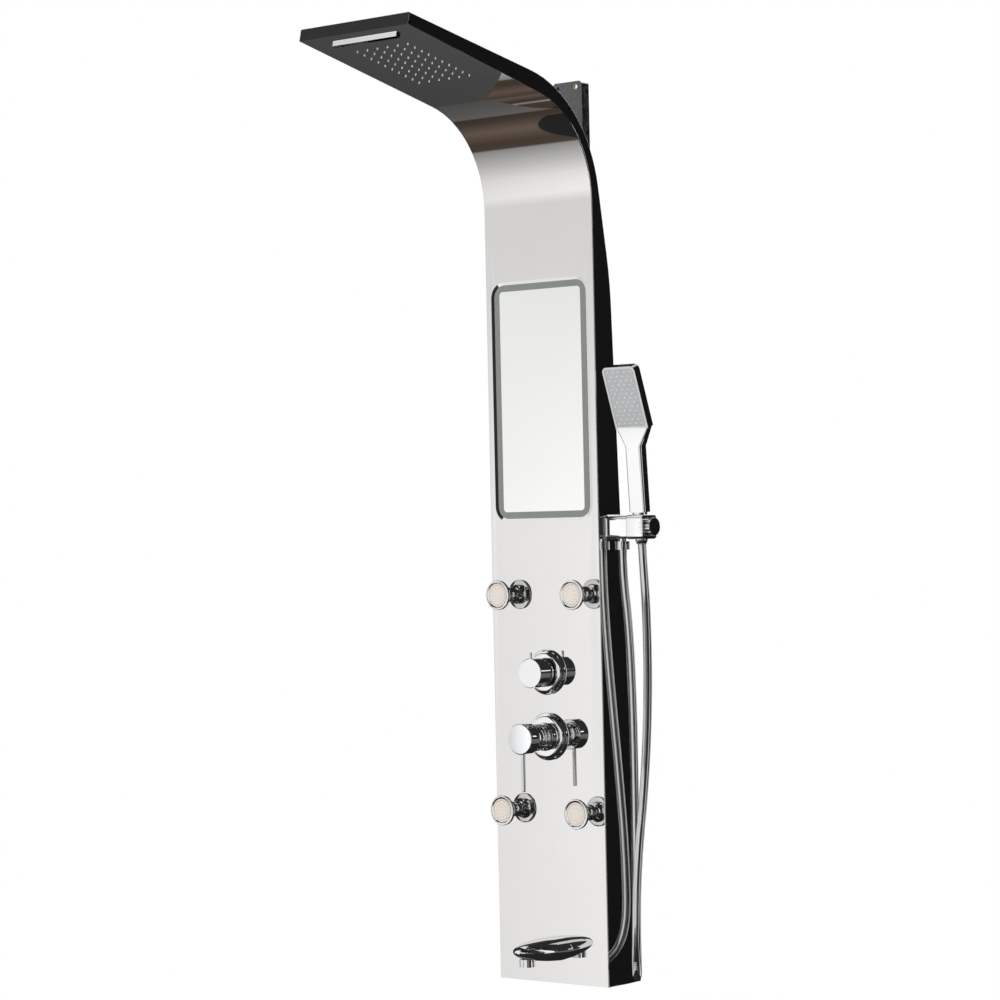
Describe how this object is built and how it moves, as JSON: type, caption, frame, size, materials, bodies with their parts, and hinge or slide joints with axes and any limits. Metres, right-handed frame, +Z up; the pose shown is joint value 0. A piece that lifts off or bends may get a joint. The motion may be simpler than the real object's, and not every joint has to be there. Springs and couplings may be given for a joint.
{
  "type": "rainfall shower column",
  "caption": "Wall-mounted steel shower column whose top bends forward into a rain head, with mirror, tilting body jets, diverter, lever mixer, bath spout and hand shower on a hose.",
  "frame": {"origin": "midway between the two wall screws of the upper bracket, on the front of its web", "axes": "+Z up, +Y towards the wall, so the column faces -Y, +X to the right as seen from the front"},
  "size_m": [0.331, 0.5275, 1.479],
  "materials": {
    "panel_steel": "polished stainless steel sheet",
    "bracket_steel": "plain folded steel",
    "eyelet_brass": "bright brass",
    "mirror_rim": "satin grey rim",
    "mirror_silver": "silvered glass",
    "foam": "foam tape",
    "chrome": "polished chrome on brass",
    "hose_metal": "bright wound metal hose",
    "soft_beige": "soft beige spray insert",
    "soft_white": "soft white nozzles",
    "seal": "black seal",
    "raw_brass": "plain cast and turned brass",
    "pipe_plastic": "white water pipe",
    "white_plastic": "moulded plastic",
    "handset_chrome": "chrome plated plastic",
    "spray_grey": "grey plastic"
  },
  "bodies": {
    "column": {"front_shell": "panel_steel", "top_cover": "panel_steel", "wall_bracket": "bracket_steel", "lower_bracket": "bracket_steel", "upper_bridge": "bracket_steel", "lower_bridge": "bracket_steel", "bridge_screws": "bracket_steel", "screw_eyelet": "eyelet_brass", "mirror_frame": "mirror_rim", "mirror_glass": "mirror_silver", "mirror_pad": "foam", "jet_sockets": "chrome", "diverter_escutcheon": "chrome", "mixer_escutcheon": "chrome", "mixer_barrel": "chrome", "spout_body": "chrome", "outlet_arm": "chrome", "outlet_nipple": "chrome", "outlet_nut": "chrome", "waterfall_nozzle": "chrome", "shower_hose": "hose_metal", "rain_nozzles": "soft_white", "jet_washers": "seal", "diverter_body": "raw_brass", "mixer_body": "raw_brass", "inlet_nipples": "raw_brass", "spout_shank": "raw_brass", "thread_locknuts": "raw_brass", "valve_locknuts": "raw_brass", "pipe_elbows": "raw_brass", "jet_pipes": "pipe_plastic", "mixer_riser": "pipe_plastic", "spout_pipe": "pipe_plastic", "handset_pipe": "pipe_plastic", "head_pipes": "pipe_plastic", "rain_chamber": "white_plastic", "waterfall_box": "white_plastic", "mixer_cartridge": "white_plastic", "spout_aerator": "spray_grey"},
    "jet_1": {"jet_head_1": "chrome", "jet_face_1": "soft_beige"},
    "jet_2": {"jet_head_2": "chrome", "jet_face_2": "soft_beige"},
    "jet_3": {"jet_head_3": "chrome", "jet_face_3": "soft_beige"},
    "jet_4": {"jet_head_4": "chrome", "jet_face_4": "soft_beige"},
    "diverter": {"diverter_knob": "chrome", "diverter_pointer": "chrome", "diverter_spindle": "raw_brass"},
    "mixer_turn": {"mixer_stem": "chrome"},
    "mixer_lift": {"mixer_cap": "chrome", "mixer_lever": "chrome"},
    "holder": {"handset_cradle": "chrome"},
    "clamp": {"clamp_knob": "chrome"},
    "handset": {"handset_body": "handset_chrome", "handset_face": "spray_grey", "handset_nozzles": "soft_white", "hose_cone": "chrome"}
  },
  "joints": [
    {"name": "jet_1_tilt", "type": "hinge", "parent": "column", "child": "jet_1", "pos_m": [-0.075, -0.0875, -0.8135], "axis": [1, 0, 0], "range_deg": [-15, 15]},
    {"name": "jet_2_tilt", "type": "hinge", "parent": "column", "child": "jet_2", "pos_m": [0.075, -0.0875, -0.8135], "axis": [1, 0, 0], "range_deg": [-15, 15]},
    {"name": "jet_3_tilt", "type": "hinge", "parent": "column", "child": "jet_3", "pos_m": [-0.075, -0.0875, -1.1565], "axis": [1, 0, 0], "range_deg": [-15, 15]},
    {"name": "jet_4_tilt", "type": "hinge", "parent": "column", "child": "jet_4", "pos_m": [0.075, -0.0875, -1.1565], "axis": [1, 0, 0], "range_deg": [-15, 15]},
    {"name": "diverter_turn", "type": "hinge", "parent": "column", "child": "diverter", "pos_m": [0, -0.095, -0.9365], "axis": [0, -1, 0], "continuous": true},
    {"name": "mixer_temperature", "type": "hinge", "parent": "column", "child": "mixer_turn", "pos_m": [0, -0.121, -1.0385], "axis": [0, -1, 0], "range_deg": [-50, 50]},
    {"name": "mixer_flow", "type": "hinge", "parent": "mixer_turn", "child": "mixer_lift", "pos_m": [0, -0.121, -1.0385], "axis": [-1, 0, 0], "range_deg": [0, 25]},
    {"name": "holder_tilt", "type": "hinge", "parent": "column", "child": "holder", "pos_m": [0.152, -0.049, -0.7095], "axis": [1, 0, 0], "range_deg": [-10, 40], "deforming": ["shower_hose"]},
    {"name": "clamp_turn", "type": "hinge", "parent": "holder", "child": "clamp", "pos_m": [0.184, -0.049, -0.7095], "axis": [1, 0, 0], "continuous": true},
    {"name": "handset_lift", "type": "slide", "parent": "holder", "child": "handset", "axis": [0, -0.0698, 0.9976], "range_m": [0, 0.06], "deforming": ["shower_hose"]}
  ]
}
